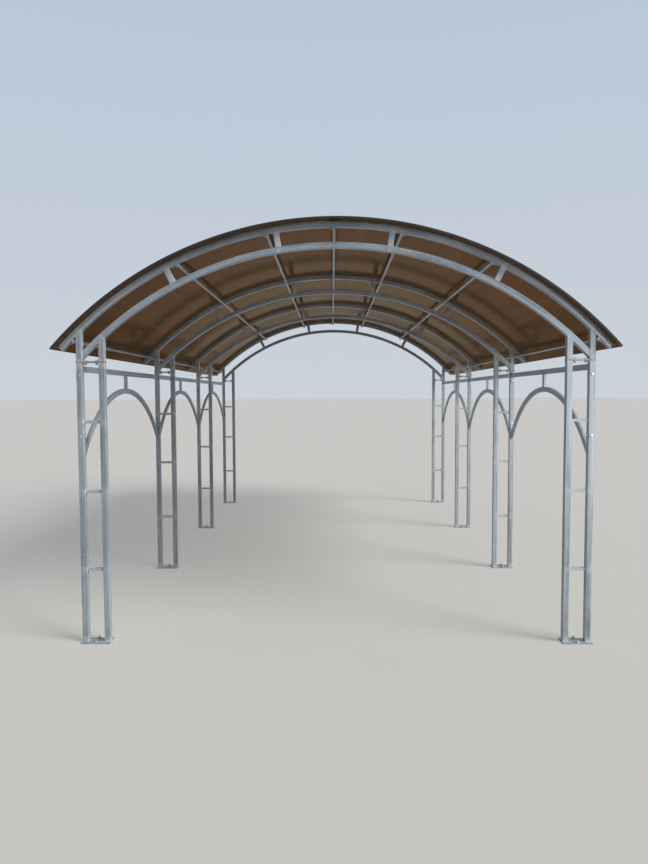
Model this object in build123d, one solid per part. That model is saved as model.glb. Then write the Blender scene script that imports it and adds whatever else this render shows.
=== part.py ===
"""Arched carport: four galvanised tube frames carrying a bent twin-wall sheet roof.

Axes: X across the drive-through, Y along the roof, Z up. Z = 0 is the underside of
the base plates. Frame 1 stands at -Y and frame 4 at +Y. All lengths are millimetres.
Straight tubes are hollow. Bent tubes have closed ends and are solid inside.
"""
import math
import os

from build123d import *

# Main square tube
TUBE = 40.0
TUBE_WALL = 2.0
HALF = TUBE / 2

# Frame layout, the frames spread evenly under sheets that overhang the outer two
FRAME_COUNT = 4
SHEET_LENGTH = 6000.0
GABLE_OVERHANG = 70.0
FRAMES_LENGTH = SHEET_LENGTH - 2 * GABLE_OVERHANG
FRAME_PITCH = (FRAMES_LENGTH - TUBE) / (FRAME_COUNT - 1)
HALF_BAY = (FRAME_PITCH - TUBE) / 2
OUTER_POST_X = 1700.0
POST_SPACING = 150.0
INNER_POST_X = OUTER_POST_X - POST_SPACING
PAIR_X = OUTER_POST_X - POST_SPACING / 2
SIDES = (-1, 1)

# Roof arches, concentric about an axis along Y
OUTER_LEG_TOP_Z = 2085.0
OUTER_ARCH_R = 2466.0
ARCH_SPACING = 136.0
INNER_ARCH_R = OUTER_ARCH_R - ARCH_SPACING
EAVES_REACH = 124.0
ARC_Z = OUTER_LEG_TOP_Z - math.sqrt((OUTER_ARCH_R - HALF) ** 2 - OUTER_POST_X ** 2)
OUTER_ARCH_HALF_ANGLE = math.degrees(math.asin((OUTER_POST_X + EAVES_REACH) / OUTER_ARCH_R))
STRUT_ANGLES = (-27.0, -9.0, 9.0, 27.0)

# Plates of the columns and truss legs
PLATE_THICK = 6.0
BASE_PLATE_MARGIN = 6.0
BASE_PLATE_WIDTH = 110.0
FLANGE_MARGIN = 2.0
FLANGE_WIDTH = 44.0
SPLICE_Z = 1900.0
ANCHOR_SPACING = 72.0
ANCHOR_HOLE_D = 13.0

# Rungs between the posts of one column
RUNG = 20.0
RUNG_HEIGHTS = (500.0, 1030.0, 1500.0)

# Purlins under the outer arches
PURLIN = 20.0
PURLIN_WALL = 1.5
PURLIN_SEAT = 0.1
PURLIN_R = OUTER_ARCH_R - HALF - PURLIN_SEAT - PURLIN / 2
PURLIN_INNER_ANGLE = 10.4
PURLIN_OUTER_ANGLE = 25.0
EAVES_GAP = 1.0

# Side panels between the outer posts, of flat tube standing on edge
SIDE_DEPTH = 40.0
SIDE_WIDTH = 20.0
RAIL_WALL = 1.5
SIDE_CROWN_Z = 1713.0
SIDE_ARCH_R = 1240.0
SIDE_FOOT_Z = SIDE_CROWN_Z - SIDE_ARCH_R + math.sqrt(SIDE_ARCH_R ** 2 - HALF_BAY ** 2)
SIDE_RAIL_Z = 1854.0
LUG_THICK = 4.0
LUG_WIDTH = 36.0
RAIL_LUG_HEIGHT = 94.0
FOOT_LUG_RISE = 155.0
FOOT_LUG_DROP = 40.0

# Roof sheets and their profiles
SHEET_THICK = 10.0
SHEET_WIDTH = 2100.0
SHEET_R = OUTER_ARCH_R + HALF
SHEET_MID_R = SHEET_R + SHEET_THICK / 2
RIDGE_GAP = 4.0
STRIP_WALL = 1.5
STRIP_DEPTH = 14.0
STRIP_FIT = 0.2
RIDGE_FLANGE = 50.0
RIDGE_WALL = 2.0
RIDGE_WEB = 3.0
RIDGE_WEB_DEPTH = 8.0

ARC_AXIS = Axis((0, 0, ARC_Z), (0, 1, 0))


def frame_y(index):
    """Y of the centre plane of frame 1 to 4."""
    return (index - (FRAME_COUNT + 1) / 2) * FRAME_PITCH


def bay_y(index):
    """Y of the middle of bay 1 to 3."""
    return (frame_y(index) + frame_y(index + 1)) / 2


def turned(shape, angle):
    """Shape built over the crown, swung round the arc axis."""
    return shape.rotate(ARC_AXIS, angle)


def box(x0, x1, y0, y1, z0, z1):
    """Box from its six face positions."""
    centre = ((x0 + x1) / 2, (y0 + y1) / 2, (z0 + z1) / 2)
    return Pos(*centre) * Box(abs(x1 - x0), abs(y1 - y0), abs(z1 - z0))


def hole_z(x, y, z0, z1, diameter):
    """Vertical round cutter."""
    return Pos(x, y, (z0 + z1) / 2) * Cylinder(diameter / 2, z1 - z0)


def post(x, y, z0, z1):
    """Upright square tube, bore open at both ends."""
    body = box(x - HALF, x + HALF, y - HALF, y + HALF, z0, z1)
    core = HALF - TUBE_WALL
    return body - box(x - core, x + core, y - core, y + core, z0, z1)


def drum(radius):
    """Solid round bar about the arc axis, past the frames at both ends."""
    return Pos(0, 0, ARC_Z) * Rotation(90, 0, 0) * Cylinder(radius, SHEET_LENGTH)


def swept_section(face, half_angle):
    """Section drawn over the crown, swept along the arc to both sides."""
    return revolve(face, ARC_AXIS, 2 * half_angle).rotate(ARC_AXIS, -half_angle)


def section(y, radius, width, height):
    """Rectangle across the arc: width along Y, height along the radius."""
    return Plane.YZ * Pos(y, ARC_Z + radius) * Rectangle(width, height)


def outer_arch(index):
    face = section(frame_y(index), OUTER_ARCH_R, TUBE, TUBE)
    return swept_section(face, OUTER_ARCH_HALF_ANGLE)


def inner_arch(index):
    """Inner arch with both ends cut plumb against the inner faces of the outer legs."""
    y = frame_y(index)
    full = swept_section(section(y, INNER_ARCH_R, TUBE, TUBE), OUTER_ARCH_HALF_ANGLE + 2)
    reach = OUTER_POST_X - HALF
    return full & box(-reach, reach, y - TUBE, y + TUBE, SPLICE_Z + PLATE_THICK, ARC_Z + SHEET_R)


def arch_struts(index, ring):
    """Four radial struts between the two arches of one truss."""
    y = frame_y(index)
    top = ARC_Z + OUTER_ARCH_R
    base = ARC_Z + INNER_ARCH_R
    blank = post(0, y, base, top)
    return [turned(blank, angle) & ring for angle in STRUT_ANGLES]


def plate(x, y, z0, margin, width):
    """Plate across both posts of one column."""
    half = (POST_SPACING + TUBE) / 2 + margin
    return box(x - half, x + half, y - width / 2, y + width / 2, z0, z0 + PLATE_THICK)


def base_plate(x, y):
    """Foot of a column, with one anchor hole in front of the rungs and one behind."""
    body = plate(x, y, 0, BASE_PLATE_MARGIN, BASE_PLATE_WIDTH)
    for dy in (-ANCHOR_SPACING / 2, ANCHOR_SPACING / 2):
        body -= hole_z(x, y + dy, 0, PLATE_THICK, ANCHOR_HOLE_D)
    return body


def column_plates(index):
    """Base plate and head plate of both columns of one frame."""
    y = frame_y(index)
    plates = []
    for side in SIDES:
        plates.append(base_plate(side * PAIR_X, y))
        plates.append(plate(side * PAIR_X, y, SPLICE_Z - PLATE_THICK, FLANGE_MARGIN, FLANGE_WIDTH))
    return plates


def posts(index, post_x):
    """The left and right posts that stand at one distance from the middle."""
    y = frame_y(index)
    return [post(side * post_x, y, PLATE_THICK, SPLICE_Z - PLATE_THICK) for side in SIDES]


def rungs(index):
    """Three square bars between the two posts of each column."""
    y = frame_y(index)
    gap = (POST_SPACING - TUBE) / 2
    half = RUNG / 2
    bars = []
    for side in SIDES:
        x = side * PAIR_X
        for z in RUNG_HEIGHTS:
            bars.append(box(x - gap, x + gap, y - half, y + half, z - half, z + half))
    return bars


def truss_leg(index, side, outer_drum, inner_drum):
    """Two short posts on a foot plate, their tops cut to the undersides of the arches."""
    y = frame_y(index)
    x = side * PAIR_X
    top = ARC_Z + OUTER_ARCH_R
    foot = plate(x, y, SPLICE_Z, FLANGE_MARGIN, FLANGE_WIDTH)
    base = SPLICE_Z + PLATE_THICK
    outer = post(side * OUTER_POST_X, y, base, top) & outer_drum
    inner = post(side * INNER_POST_X, y, base, top) & inner_drum
    return foot + outer + inner


def purlin(angle):
    """Square tube along the roof, seated under the outer arches at one angle."""
    core = PURLIN - 2 * PURLIN_WALL
    tube = Box(PURLIN, FRAMES_LENGTH, PURLIN) - Box(core, FRAMES_LENGTH, core)
    return turned(Pos(0, 0, ARC_Z + PURLIN_R) * tube, angle)


def purlin_pair(angle):
    return [purlin(-angle), purlin(angle)]


def lugs(x, y, z0, z1):
    """Flat end plates against the two post faces of one bay."""
    half = LUG_WIDTH / 2
    inner = HALF_BAY - LUG_THICK
    first = box(x - half, x + half, y - HALF_BAY, y - inner, z0, z1)
    return first + box(x - half, x + half, y + inner, y + HALF_BAY, z0, z1)


def side_bow(x, y):
    """Tube bent in the side plane, longer than the bay."""
    axis = Axis((x, y, SIDE_CROWN_Z - SIDE_ARCH_R), (1, 0, 0))
    half_angle = math.degrees(math.asin(HALF_BAY / SIDE_ARCH_R)) + 3
    face = Plane.XZ.offset(-y) * Pos(x, SIDE_CROWN_Z) * Rectangle(SIDE_WIDTH, SIDE_DEPTH)
    return revolve(face, axis, 2 * half_angle).rotate(axis, -half_angle)


def side_arch(index, side):
    """Bent tube between two outer posts, with end lugs and a strut up to the rail."""
    x = side * OUTER_POST_X
    y = bay_y(index)
    bay = box(x - TUBE, x + TUBE, y - HALF_BAY, y + HALF_BAY, 0, SIDE_RAIL_Z)
    strut_top = SIDE_RAIL_Z - SIDE_DEPTH / 2
    half_x = SIDE_WIDTH / 2
    half_y = SIDE_DEPTH / 2
    panel = side_bow(x, y) & bay
    panel += lugs(x, y, SIDE_FOOT_Z - FOOT_LUG_DROP, SIDE_FOOT_Z + FOOT_LUG_RISE)
    return panel + box(x - half_x, x + half_x, y - half_y, y + half_y, SIDE_CROWN_Z, strut_top)


def side_rail(index, side):
    """Straight tube between two outer posts, welded through an end lug at each post."""
    x = side * OUTER_POST_X
    y = bay_y(index)
    half_x = SIDE_WIDTH / 2
    half_z = SIDE_DEPTH / 2
    top = SIDE_RAIL_Z + half_z
    rail = box(x - half_x, x + half_x, y - HALF_BAY, y + HALF_BAY, SIDE_RAIL_Z - half_z, top)
    rail += lugs(x, y, top - RAIL_LUG_HEIGHT, top)
    bore_x = half_x - RAIL_WALL
    bore_z = half_z - RAIL_WALL
    low, high = SIDE_RAIL_Z - bore_z, SIDE_RAIL_Z + bore_z
    return rail - box(x - bore_x, x + bore_x, y - HALF_BAY, y + HALF_BAY, low, high)


def roof_sheet(side):
    """One bent sheet from the ridge joint down to the eaves."""
    gap_angle = math.degrees(RIDGE_GAP / 2 / SHEET_MID_R)
    width_angle = math.degrees(SHEET_WIDTH / SHEET_MID_R)
    blank = revolve(section(0, SHEET_MID_R, SHEET_LENGTH, SHEET_THICK), ARC_AXIS, width_angle)
    if side > 0:
        return turned(blank, gap_angle)
    return turned(blank, -gap_angle - width_angle)


def edge_strip(end):
    """Channel over the cut ends of both sheets, bent along the whole arc."""
    half_angle = math.degrees((SHEET_WIDTH + RIDGE_GAP / 2) / SHEET_MID_R)
    inside = SHEET_THICK + 2 * STRIP_FIT
    outside = inside + 2 * STRIP_WALL
    edge = SHEET_LENGTH / 2 + STRIP_FIT
    depth = STRIP_DEPTH + STRIP_WALL
    y_mid = end * (edge + STRIP_WALL - depth / 2)
    face = section(y_mid, SHEET_MID_R, depth, outside)
    face -= section(end * (edge - STRIP_DEPTH / 2), SHEET_MID_R, STRIP_DEPTH, inside)
    return swept_section(face, half_angle)


def ridge_strip():
    """T section over the joint between the sheets."""
    top = ARC_Z + SHEET_R + SHEET_THICK
    half = SHEET_LENGTH / 2 - STRIP_DEPTH - 1
    cap = box(-RIDGE_FLANGE / 2, RIDGE_FLANGE / 2, -half, half, top, top + RIDGE_WALL)
    web = box(-RIDGE_WEB / 2, RIDGE_WEB / 2, -half, half, top - RIDGE_WEB_DEPTH, top)
    return cap + web


def save(shape, name):
    if isinstance(shape, list):
        shape = Compound(children=shape)
    export_step(shape, "parts/" + name + ".step")


def main():
    os.makedirs("parts", exist_ok=True)
    outer_drum = drum(OUTER_ARCH_R - HALF)
    inner_drum = drum(INNER_ARCH_R - HALF)
    ring = outer_drum - drum(INNER_ARCH_R + HALF)
    for index in range(1, FRAME_COUNT + 1):
        tag = str(index)
        save(column_plates(index), "column_plates_" + tag)
        save(posts(index, OUTER_POST_X), "outer_posts_" + tag)
        save(posts(index, INNER_POST_X), "inner_posts_" + tag)
        save(rungs(index), "rungs_" + tag)
        save([truss_leg(index, side, outer_drum, inner_drum) for side in SIDES], "truss_legs_" + tag)
        save(outer_arch(index), "outer_arch_" + tag)
        save(inner_arch(index), "inner_arch_" + tag)
        save(arch_struts(index, ring), "arch_struts_" + tag)
    for name, side in (("left", -1), ("right", 1)):
        bays = range(1, FRAME_COUNT)
        save([side_arch(index, side) for index in bays], name + "_side_arches")
        save([side_rail(index, side) for index in bays], name + "_side_rails")
        save(roof_sheet(side), name + "_roof_sheet")
    reach = OUTER_POST_X + HALF + EAVES_GAP + PURLIN * math.sqrt(0.5)
    save(purlin(0), "ridge_purlin")
    save(purlin_pair(PURLIN_INNER_ANGLE), "upper_purlins")
    save(purlin_pair(PURLIN_OUTER_ANGLE), "lower_purlins")
    save(purlin_pair(math.degrees(math.asin(reach / PURLIN_R))), "eaves_purlins")
    save([edge_strip(end) for end in SIDES], "edge_strips")
    save(ridge_strip(), "ridge_strip")


main()
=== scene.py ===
"""Looks of the arched carport: galvanised tube frames, welds, bolts and a bronze twin-wall roof."""

import math
import random
from collections import namedtuple

import bmesh
import bpy
from mathutils import Matrix, Vector


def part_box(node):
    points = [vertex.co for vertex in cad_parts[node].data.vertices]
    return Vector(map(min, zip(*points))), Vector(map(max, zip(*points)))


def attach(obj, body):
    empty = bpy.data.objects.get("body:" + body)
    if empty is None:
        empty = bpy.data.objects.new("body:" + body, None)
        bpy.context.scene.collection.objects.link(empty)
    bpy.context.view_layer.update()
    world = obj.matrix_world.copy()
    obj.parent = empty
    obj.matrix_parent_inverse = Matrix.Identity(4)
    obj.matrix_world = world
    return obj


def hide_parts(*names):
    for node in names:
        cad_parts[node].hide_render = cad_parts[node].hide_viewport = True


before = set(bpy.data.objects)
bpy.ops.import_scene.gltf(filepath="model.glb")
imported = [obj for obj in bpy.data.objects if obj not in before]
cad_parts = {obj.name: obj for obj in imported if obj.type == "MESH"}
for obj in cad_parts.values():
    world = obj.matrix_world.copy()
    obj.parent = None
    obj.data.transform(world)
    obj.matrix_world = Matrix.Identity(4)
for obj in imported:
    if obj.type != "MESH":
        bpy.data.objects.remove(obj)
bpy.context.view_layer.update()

# Layout of the carport
FRAMES = (1, 2, 3, 4)
SIDES = {"left": -1, "right": 1}
X_AXIS = Vector((1, 0, 0))
Y_AXIS = Vector((0, 1, 0))
Z_AXIS = Vector((0, 0, 1))

# Sections in metres
TUBE = 0.040
HALF = TUBE / 2
TUBE_WALL = 0.002
TUBE_CORNER = 0.004
SMALL_WALL = 0.0015
SMALL_CORNER = 0.0025
RUNG = 0.020
RUNG_CORNER = 0.001
PURLIN = 0.020
SIDE_WIDTH = 0.020
SIDE_DEPTH = 0.040
LUG_THICK = 0.004
LUG_WIDTH = 0.036
LUG_CORNER = 0.004
BASE_CORNER = 0.003
FLANGE_CORNER = 0.002
SHEET_THICK = 0.010
SHEET_WIDTH = 2.100
SHEET_TO_CROWN = 0.002
FLUTE_PITCH = 0.0105


def low(node):
    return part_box(node)[0]


def high(node):
    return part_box(node)[1]


def middle_y(node):
    return (low(node).y + high(node).y) / 2


def mirrored(*values):
    """The values on the left side of the middle, then on the right."""
    return [side * value for side in SIDES.values() for value in values]


# Places read from the solids
FRAME_Y = {index: middle_y("outer_arch_%d" % index) for index in FRAMES}
BAY_Y = [(FRAME_Y[index] + FRAME_Y[index + 1]) / 2 for index in FRAMES[:-1]]
HALF_BAY = (FRAME_Y[2] - FRAME_Y[1] - TUBE) / 2
OUTER_POST_X = high("outer_posts_1").x - HALF
INNER_POST_X = high("inner_posts_1").x - HALF
PAIR_X = (OUTER_POST_X + INNER_POST_X) / 2
PLATE = low("outer_posts_1").z
POST_TOP_Z = high("outer_posts_1").z
SPLICE_Z = POST_TOP_Z + PLATE
BASE_LENGTH = 2 * (high("column_plates_1").x - PAIR_X)
BASE_WIDTH = high("column_plates_1").y - low("column_plates_1").y
FLANGE_LENGTH = 2 * (high("truss_legs_1").x - PAIR_X)
FLANGE_WIDTH = high("truss_legs_1").y - low("truss_legs_1").y
RUNG_HEIGHTS = (0.500, 1.030, 1.500)
RUNG_REACH = (OUTER_POST_X - INNER_POST_X - TUBE) / 2

# Roof arc about an axis along Y
OUTER_R = 2.466
INNER_R = 2.330
ARC_Z = high("outer_arch_1").z - OUTER_R - HALF
SHEET_R = OUTER_R + HALF
SHEET_MID_R = SHEET_R + SHEET_THICK / 2
ARCH_PAST_POST = 0.124
OUTER_HALF_ANGLE = math.asin((OUTER_POST_X + ARCH_PAST_POST) / OUTER_R)
STRUT_ANGLES = [math.radians(angle) for angle in (-27, -9, 9, 27)]
PURLIN_R = high("ridge_purlin").z - PURLIN / 2 - ARC_Z
EAVES_GAP = 0.001
EAVES_X = OUTER_POST_X + HALF + EAVES_GAP + PURLIN * math.sqrt(0.5)
PURLIN_ANGLES = {
    "ridge_purlin": [0.0],
    "upper_purlins": mirrored(math.radians(10.4)),
    "lower_purlins": mirrored(math.radians(25.0)),
    "eaves_purlins": mirrored(math.asin(EAVES_X / PURLIN_R)),
}
ALL_PURLIN_ANGLES = sum(PURLIN_ANGLES.values(), [])
PURLIN_HALF_LENGTH = high("ridge_purlin").y

# Side panels between the outer posts
SIDE_RAIL_Z = high("left_side_rails").z - SIDE_DEPTH / 2
RAIL_LUG_LOW_Z = low("left_side_rails").z
FOOT_LUG_LOW_Z = low("left_side_arches").z
FOOT_LUG_HEIGHT = 0.195
SIDE_CROWN_Z = 1.713
SIDE_ARCH_R = 1.240
LUG_BOLT_INSET = 0.025

# Fasteners
ANCHOR_SPACING = 0.072
ANCHOR_HOLE_R = 0.0065
SPLICE_BOLT_SPACING = 0.073
Fastener = namedtuple("Fastener", "flats head washer_d washer_t diameter nut pitch", defaults=(0, 0, 0))
CLEAT_SCREW = Fastener(0.008, 0.0040, 0.0105, 0.0012)
M8 = Fastener(0.013, 0.0053, 0.016, 0.0016, 0.008, 0.0065, 0.00125)
M10 = Fastener(0.016, 0.0064, 0.020, 0.0020, 0.010, 0.0084, 0.00150)
M12 = Fastener(0.018, 0.0075, 0.024, 0.0025, 0.012, 0.0108, 0.00175)
ROOF_SCREW_PITCH = 0.300
WELD = 0.0027
FLANGE_WELD = 0.0015
SIDE_WELD = WELD * 0.9
WELD_STEP = 0.004
WELD_RIPPLE = (0.8, 1.0)

# Pale spray beside the welds, as distances from a weld and shares of the spray
WELD_FADE = [(0.0, 1.0), (0.030, 0.55), (0.060, 0.0)]
SHORT_FADE = [(0.0, 1.0), (0.030, 0.8)]
SHORT_BAR = 0.15
JOINT_SPRAY = 0.62
BEND_SPRAY = 0.6
BEND_FADE = 0.07

# Rings along the bent pieces
OUTER_ARCH_STEPS = 200
INNER_ARCH_STEPS = 190
BOW_STEPS = 96
STRIP_STEPS = 160

# Points round the small circles
WELD_POINTS = 6
SHANK_POINTS = 16
HEAD_POINTS = 24
HOLE_POINTS = 24
WASHER_POINTS = 28

# Shifts that keep the run marks of two tubes from being alike
TUBE_SHIFT = 7
COPY_SHIFT = 5


# Node trees

# Places of the colour sockets on a Mix node
COLOUR_A = 6
COLOUR_B = 7
COLOUR_RESULT = 2


def add(tree, kind, inputs=None, **properties):
    """Adds a node, sets its properties and fills its sockets with values or links."""
    made = tree.nodes.new(kind)
    for key, value in properties.items():
        setattr(made, key, value)
    for socket, value in (inputs or {}).items():
        if isinstance(value, bpy.types.NodeSocket):
            tree.links.new(value, made.inputs[socket])
        else:
            made.inputs[socket].default_value = value
    return made


def maths(tree, operation, *values):
    made = add(tree, "ShaderNodeMath", dict(enumerate(values)), operation=operation)
    return made.outputs[0]


def spread(tree, value, low_end, high_end):
    """Maps 0 to 1 onto the given range."""
    inputs = {"Value": value, "To Min": low_end, "To Max": high_end}
    return add(tree, "ShaderNodeMapRange", inputs).outputs["Result"]


def ramp(tree, value, start, end):
    """Maps the given range onto 0 to 1 and holds it there."""
    inputs = {"Value": value, "From Min": start, "From Max": end}
    return add(tree, "ShaderNodeMapRange", inputs).outputs["Result"]


def noise(tree, place, scale, detail, roughness=0.5):
    inputs = {"Vector": place, "Scale": scale, "Detail": detail, "Roughness": roughness}
    return add(tree, "ShaderNodeTexNoise", inputs).outputs[0]


def object_place(tree):
    return add(tree, "ShaderNodeTexCoord").outputs["Object"]


def blend(tree, factor, first, second):
    """Mixes two colours."""
    inputs = {"Factor": factor, COLOUR_A: first, COLOUR_B: second}
    return add(tree, "ShaderNodeMix", inputs, data_type="RGBA").outputs[COLOUR_RESULT]


def scaled(tree, colour, factor):
    return add(tree, "ShaderNodeVectorMath", {0: colour, "Scale": factor}, operation="SCALE").outputs[0]


def new_group(name, inputs, outputs):
    """Node group with named value inputs and outputs."""
    group = bpy.data.node_groups.new(name, "ShaderNodeTree")
    for label, value in inputs:
        socket = group.interface.new_socket(label, in_out="INPUT", socket_type="NodeSocketFloat")
        socket.default_value = value
    for label in outputs:
        group.interface.new_socket(label, in_out="OUTPUT", socket_type="NodeSocketFloat")
    return group, add(group, "NodeGroupInput").outputs


def zinc_coat_group():
    """Crystals, run marks along the tubes, cloudy patches and a misty mask of a zinc coat."""
    inputs = (("Crystal Size", 0.012), ("Crystal Contrast", 0.18), ("Run Marks", 0.42), ("Clouds", 0.20))
    group, entry = new_group("zinc_coat", inputs, ("Shade", "Dullness", "Mist", "Height"))
    place = object_place(group)
    density = maths(group, "DIVIDE", 1.0, entry["Crystal Size"])
    crystals = add(group, "ShaderNodeTexVoronoi", {"Vector": place, "Scale": density})
    tone = add(group, "ShaderNodeSeparateColor", {0: crystals.outputs["Color"]}).outputs[0]
    marks = add(group, "ShaderNodeAttribute", attribute_name="tube_marks").outputs["Vector"]
    stretched = add(group, "ShaderNodeMapping", {0: marks, "Scale": (70.0, 70.0, 2.2)}).outputs[0]
    runs = noise(group, stretched, 1.0, 3.0)
    clouds = noise(group, place, 5.0, 4.0)
    shade = 1.0
    layers = (("Crystal Contrast", tone, 1.0), ("Run Marks", runs, 3.0), ("Clouds", clouds, 3.0))
    for label, value, gain in layers:
        share = maths(group, "MULTIPLY", entry[label], gain)
        shade = maths(group, "MULTIPLY_ADD", maths(group, "SUBTRACT", value, 0.5), share, shade)
    dull = maths(group, "MULTIPLY_ADD", tone, 0.45, maths(group, "MULTIPLY", clouds, 0.55))
    height = maths(group, "MULTIPLY_ADD", tone, 0.35, noise(group, place, 420.0, 2.0))
    mist = noise(group, place, 38.0, 6.0, 0.7)
    add(group, "NodeGroupOutput", {"Shade": shade, "Dullness": dull, "Mist": mist, "Height": height})
    return group


def settled_dust_group():
    """Mask of the dust that lies on faces that look up."""
    group, entry = new_group("settled_dust", (("Amount", 0.5), ("Patch Size", 0.2)), ("Mask",))
    normal = add(group, "ShaderNodeNewGeometry").outputs["Normal"]
    upward = add(group, "ShaderNodeSeparateXYZ", {0: normal}).outputs["Z"]
    flat = maths(group, "POWER", maths(group, "MAXIMUM", upward, 0.0), 2.0)
    density = maths(group, "DIVIDE", 1.0, entry["Patch Size"])
    patches = ramp(group, noise(group, object_place(group), density, 5.0, 0.62), 0.35, 0.7)
    mask = maths(group, "MULTIPLY", maths(group, "MULTIPLY", flat, patches), entry["Amount"])
    add(group, "NodeGroupOutput", {"Mask": mask})
    return group


def moulded_grain_group():
    """Fine grain of drawn or moulded plastic, with faint tone changes."""
    group, entry = new_group("moulded_grain", (("Grain Size", 0.0015),), ("Shade", "Height"))
    place = object_place(group)
    grain = noise(group, place, maths(group, "DIVIDE", 1.0, entry["Grain Size"]), 3.0)
    tone = spread(group, noise(group, place, 9.0, 3.0), 0.75, 1.25)
    add(group, "NodeGroupOutput", {"Shade": tone, "Height": grain})
    return group


ZINC_COAT = zinc_coat_group()
SETTLED_DUST = settled_dust_group()
MOULDED_GRAIN = moulded_grain_group()
DUST_COLOUR = (0.42, 0.40, 0.36, 1.0)


def new_material(name, **sockets):
    """Material with a Principled shader whose plain values are set on its own sockets."""
    material = bpy.data.materials.new(name)
    material.use_nodes = True
    tree = material.node_tree
    shader = tree.nodes["Principled BSDF"]
    for key, value in sockets.items():
        shader.inputs[key.replace("_", " ")].default_value = value
    return material, tree, shader


def effect(tree, group, values=None):
    """Places a node group with its own values."""
    return add(tree, "ShaderNodeGroup", values, node_tree=group).outputs


def dress(tree, shader, colour, roughness, height, relief, strength=1.0):
    """Links a colour, a relief, and a roughness where it varies."""
    tree.links.new(colour, shader.inputs["Base Color"])
    if roughness is not None:
        tree.links.new(roughness, shader.inputs["Roughness"])
    bump = add(tree, "ShaderNodeBump", {"Height": height, "Distance": relief, "Strength": strength})
    tree.links.new(bump.outputs[0], shader.inputs["Normal"])


def dusted(tree, colour, values):
    dust = effect(tree, SETTLED_DUST, values)
    return blend(tree, dust["Mask"], colour, DUST_COLOUR)


def galvanised_steel():
    """Zinc-coated tube: satin, faintly spangled, paler where it was sprayed beside the welds."""
    material, tree, shader = new_material("galvanised_steel", Metallic=0.38)
    coat = effect(tree, ZINC_COAT)
    spray = add(tree, "ShaderNodeAttribute", attribute_name="weld_spray").outputs["Fac"]
    ragged = maths(tree, "MULTIPLY_ADD", coat["Mist"], 1.2, maths(tree, "SUBTRACT", spray, 0.6))
    sprayed = ramp(tree, ragged, 0.25, 0.9)
    metal = scaled(tree, (0.335, 0.385, 0.43), coat["Shade"])
    metal = blend(tree, maths(tree, "MULTIPLY", sprayed, 0.6), metal, (0.62, 0.63, 0.64, 1.0))
    metal = dusted(tree, metal, {"Amount": 0.45, "Patch Size": 0.08})
    rough = spread(tree, coat["Dullness"], 0.27, 0.52)
    rough = maths(tree, "MULTIPLY_ADD", sprayed, 0.16, rough)
    dress(tree, shader, metal, rough, coat["Height"], 0.00006)
    return material


def bare_zinc(name, metallic, marks, colour, roughness, relief):
    """Zinc of one colour under the marks of its coat."""
    material, tree, shader = new_material(name, Metallic=metallic)
    coat = effect(tree, ZINC_COAT, marks)
    rough = spread(tree, coat["Dullness"], *roughness)
    dress(tree, shader, scaled(tree, colour, coat["Shade"]), rough, coat["Height"], relief)
    return material


def weld_metal():
    """Weld beads under zinc spray: pale, matt and grainy."""
    marks = {"Crystal Size": 0.004, "Crystal Contrast": 0.3, "Run Marks": 0.0, "Clouds": 0.5}
    return bare_zinc("weld_metal", 0.7, marks, (0.60, 0.61, 0.63), (0.45, 0.7), 0.00025)


def zinc_plating():
    """Bright plated bolts, nuts and washers."""
    marks = {"Crystal Size": 0.003, "Crystal Contrast": 0.08, "Run Marks": 0.0, "Clouds": 0.35}
    return bare_zinc("zinc_plating", 0.95, marks, (0.54, 0.55, 0.55), (0.26, 0.46), 0.00003)


def bronze_sheet():
    """Tinted twin-wall sheet: glossy skins over fine lengthwise ribs, partly see-through."""
    material, tree, shader = new_material(
        "bronze_sheet", Roughness=0.13, IOR=1.06, Transmission_Weight=0.85, Metallic=0.38,
        Specular_Tint=(0.46, 0.31, 0.11, 1.0))
    place = object_place(tree)
    axes = add(tree, "ShaderNodeSeparateXYZ", {0: place}).outputs
    angle = maths(tree, "ARCTAN2", axes["X"], maths(tree, "SUBTRACT", axes["Z"], ARC_Z))
    flutes = maths(tree, "MULTIPLY", angle, SHEET_MID_R / FLUTE_PITCH)
    rib = ramp(tree, maths(tree, "PINGPONG", flutes, 0.5), 0.0, 0.15)
    lengthwise = add(tree, "ShaderNodeMapping", {0: place, "Scale": (34.0, 0.15, 34.0)}).outputs[0]
    streaks = ramp(tree, noise(tree, lengthwise, 1.0, 3.0, 0.7), 0.30, 0.70)
    tint = blend(tree, streaks, (0.186, 0.103, 0.041, 1.0), (0.272, 0.161, 0.074, 1.0))
    tint = scaled(tree, tint, spread(tree, rib, 0.45, 1.0))
    tint = dusted(tree, tint, {"Amount": 0.10, "Patch Size": 0.4})
    dress(tree, shader, tint, None, rib, 0.00010, 0.5)
    return material


def moulded_plastic(name, colour, grain_size, roughness, relief, dust=None):
    """Plastic with a fine grain, and with dust where values for it are given."""
    material, tree, shader = new_material(name, IOR=1.5)
    grain = effect(tree, MOULDED_GRAIN, {"Grain Size": grain_size})
    tint = scaled(tree, colour, grain["Shade"])
    if dust:
        tint = dusted(tree, tint, dust)
    dress(tree, shader, tint, spread(tree, grain["Height"], *roughness), grain["Height"], relief)
    return material


def bronze_profile():
    """Dark bronze plastic channels and ridge strip."""
    dust = {"Amount": 0.12, "Patch Size": 0.5}
    return moulded_plastic("bronze_profile", (0.022, 0.013, 0.009), 0.004, (0.38, 0.52), 0.00002, dust)


def black_plastic():
    """Seals under the roof screws."""
    return moulded_plastic("black_plastic", (0.030, 0.029, 0.028), 0.0008, (0.42, 0.6), 0.00008)


Finish = namedtuple("Finish", "material slot")
STEEL = Finish(galvanised_steel(), "galvanised_steel")
WELD_METAL = Finish(weld_metal(), "galvanised_steel")
PLATING = Finish(zinc_plating(), "galvanised_steel")
SHEET = Finish(bronze_sheet(), "bronze_sheet")
PROFILE = Finish(bronze_profile(), "bronze_profile")
BLACK = Finish(black_plastic(), "bronze_profile")


# Mesh building

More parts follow.
